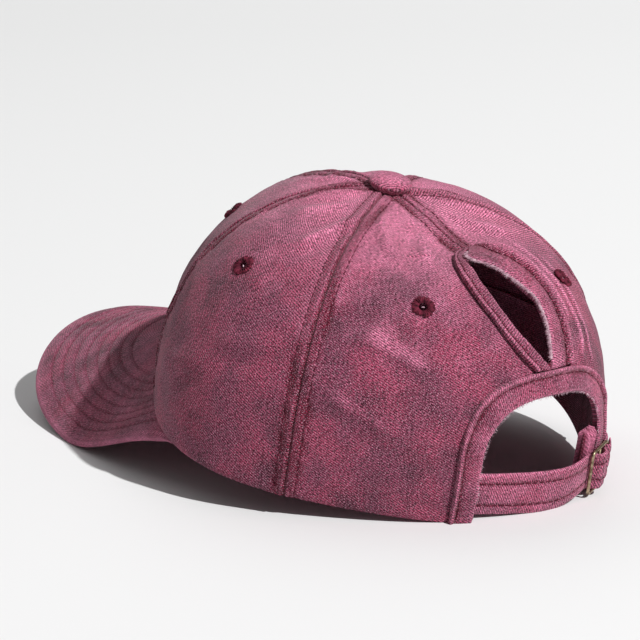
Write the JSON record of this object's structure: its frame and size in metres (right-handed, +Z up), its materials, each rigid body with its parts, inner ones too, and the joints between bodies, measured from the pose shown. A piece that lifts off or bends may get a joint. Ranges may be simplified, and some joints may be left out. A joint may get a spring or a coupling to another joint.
{
  "type": "ponytail baseball cap",
  "caption": "Soft washed-cotton baseball cap with a curved peak, sewn eyelets, a slot and an arched opening at the back, and a strap with a wire buckle",
  "frame": {"origin": "centre of the bounding box on the floor that the cap stands on", "axes": "+Z up, -Y the way the peak points, +X to the wearer's left; the strap and its arch are at +Y"},
  "size_m": [0.184, 0.2754, 0.1157],
  "materials": {
    "crown_cloth": "washed cotton twill, uneven dusty rose",
    "peak_cloth": "washed cotton twill over a stiffener, rows of stitching",
    "binding_cloth": "washed cotton twill, pale worn edges",
    "band_cloth": "washed cotton twill",
    "eyelet_thread": "sewn thread, dark red",
    "buckle_metal": "dull antique brass"
  },
  "bodies": {
    "root": {"panel_front_left": "crown_cloth", "panel_front_right": "crown_cloth", "panel_side_left": "crown_cloth", "panel_side_right": "crown_cloth", "panel_back_left": "crown_cloth", "panel_back_right": "crown_cloth", "eyelet_front_left": "eyelet_thread", "eyelet_front_right": "eyelet_thread", "eyelet_side_left": "eyelet_thread", "eyelet_side_right": "eyelet_thread", "eyelet_back_left": "eyelet_thread", "eyelet_back_right": "eyelet_thread", "button": "crown_cloth", "peak": "peak_cloth", "arch_binding": "binding_cloth", "slot_binding_left": "binding_cloth", "slot_binding_right": "binding_cloth", "sweatband": "band_cloth", "strap": "binding_cloth", "strap_tab": "binding_cloth", "strap_spare_end": "binding_cloth", "buckle": "buckle_metal"}
  },
  "joints": []
}
